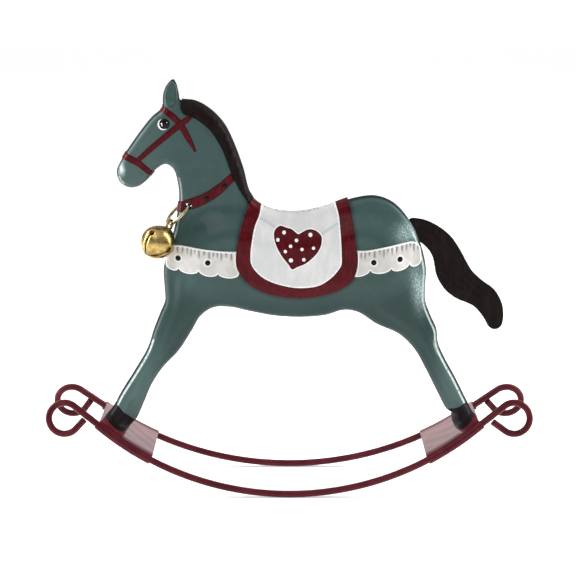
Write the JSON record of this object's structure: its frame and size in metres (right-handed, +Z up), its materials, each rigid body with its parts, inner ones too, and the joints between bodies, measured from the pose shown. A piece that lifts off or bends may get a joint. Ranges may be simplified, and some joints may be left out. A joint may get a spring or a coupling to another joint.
{
  "type": "rocking horse",
  "caption": "Small painted sheet-metal rocking horse ornament on two bent wire rockers, with a saddle cloth, lace trims and a jingle bell on a ring at the neck.",
  "frame": {"origin": "on the surface that the rockers stand on, under the middle of the rockers", "axes": "+X from head to tail along the rockers, +Y to the horse's right side, +Z up"},
  "size_m": [0.16, 0.0352, 0.1353],
  "materials": {
    "body_paint": "satin teal enamel",
    "mane_paint": "satin dark brown enamel",
    "cloth_paint": "satin white enamel with a burgundy border",
    "lace_paint": "satin white enamel",
    "strap_paint": "satin burgundy enamel",
    "stud_paint": "gloss black enamel",
    "rocker_paint": "gloss burgundy enamel",
    "bell_brass": "bright plated brass",
    "pellet_steel": "plain steel shot"
  },
  "bodies": {
    "horse": {"body_shell_left": "body_paint", "body_shell_right": "body_paint", "breast_lace_left": "lace_paint", "breast_lace_right": "lace_paint", "front_foot_plate": "rocker_paint", "lace_studs": "stud_paint", "mane_strip_left": "mane_paint", "mane_strip_right": "mane_paint", "neck_strap_left": "strap_paint", "neck_strap_right": "strap_paint", "rear_foot_plate": "rocker_paint", "rocker_wire_left": "rocker_paint", "rocker_wire_right": "rocker_paint", "rump_lace_left": "lace_paint", "rump_lace_right": "lace_paint", "saddle_cloth_left": "cloth_paint", "saddle_cloth_right": "cloth_paint", "strap_studs": "stud_paint", "tail": "mane_paint"},
    "ring": {"jump_ring": "bell_brass"},
    "bell": {"bell_body": "bell_brass", "bell_loop": "bell_brass"},
    "pellet": {"bell_pellet": "pellet_steel"}
  },
  "joints": [
    {"name": "ring_swing", "type": "hinge", "parent": "horse", "child": "ring", "pos_m": [-0.0333, 0, 0.0948], "axis": [-0.147, 0.9781, 0.147], "range_deg": [0, 40]},
    {"name": "bell_swing", "type": "hinge", "parent": "ring", "child": "bell", "pos_m": [-0.03864, -0.00297, 0.08856], "axis": [-0.526, 0.8013, -0.2852], "range_deg": [0, 35]},
    {"name": "pellet_rattle", "type": "slide", "parent": "bell", "child": "pellet", "axis": [0.4949, 0.561, 0.6636], "range_m": [0, 0.0065]}
  ]
}
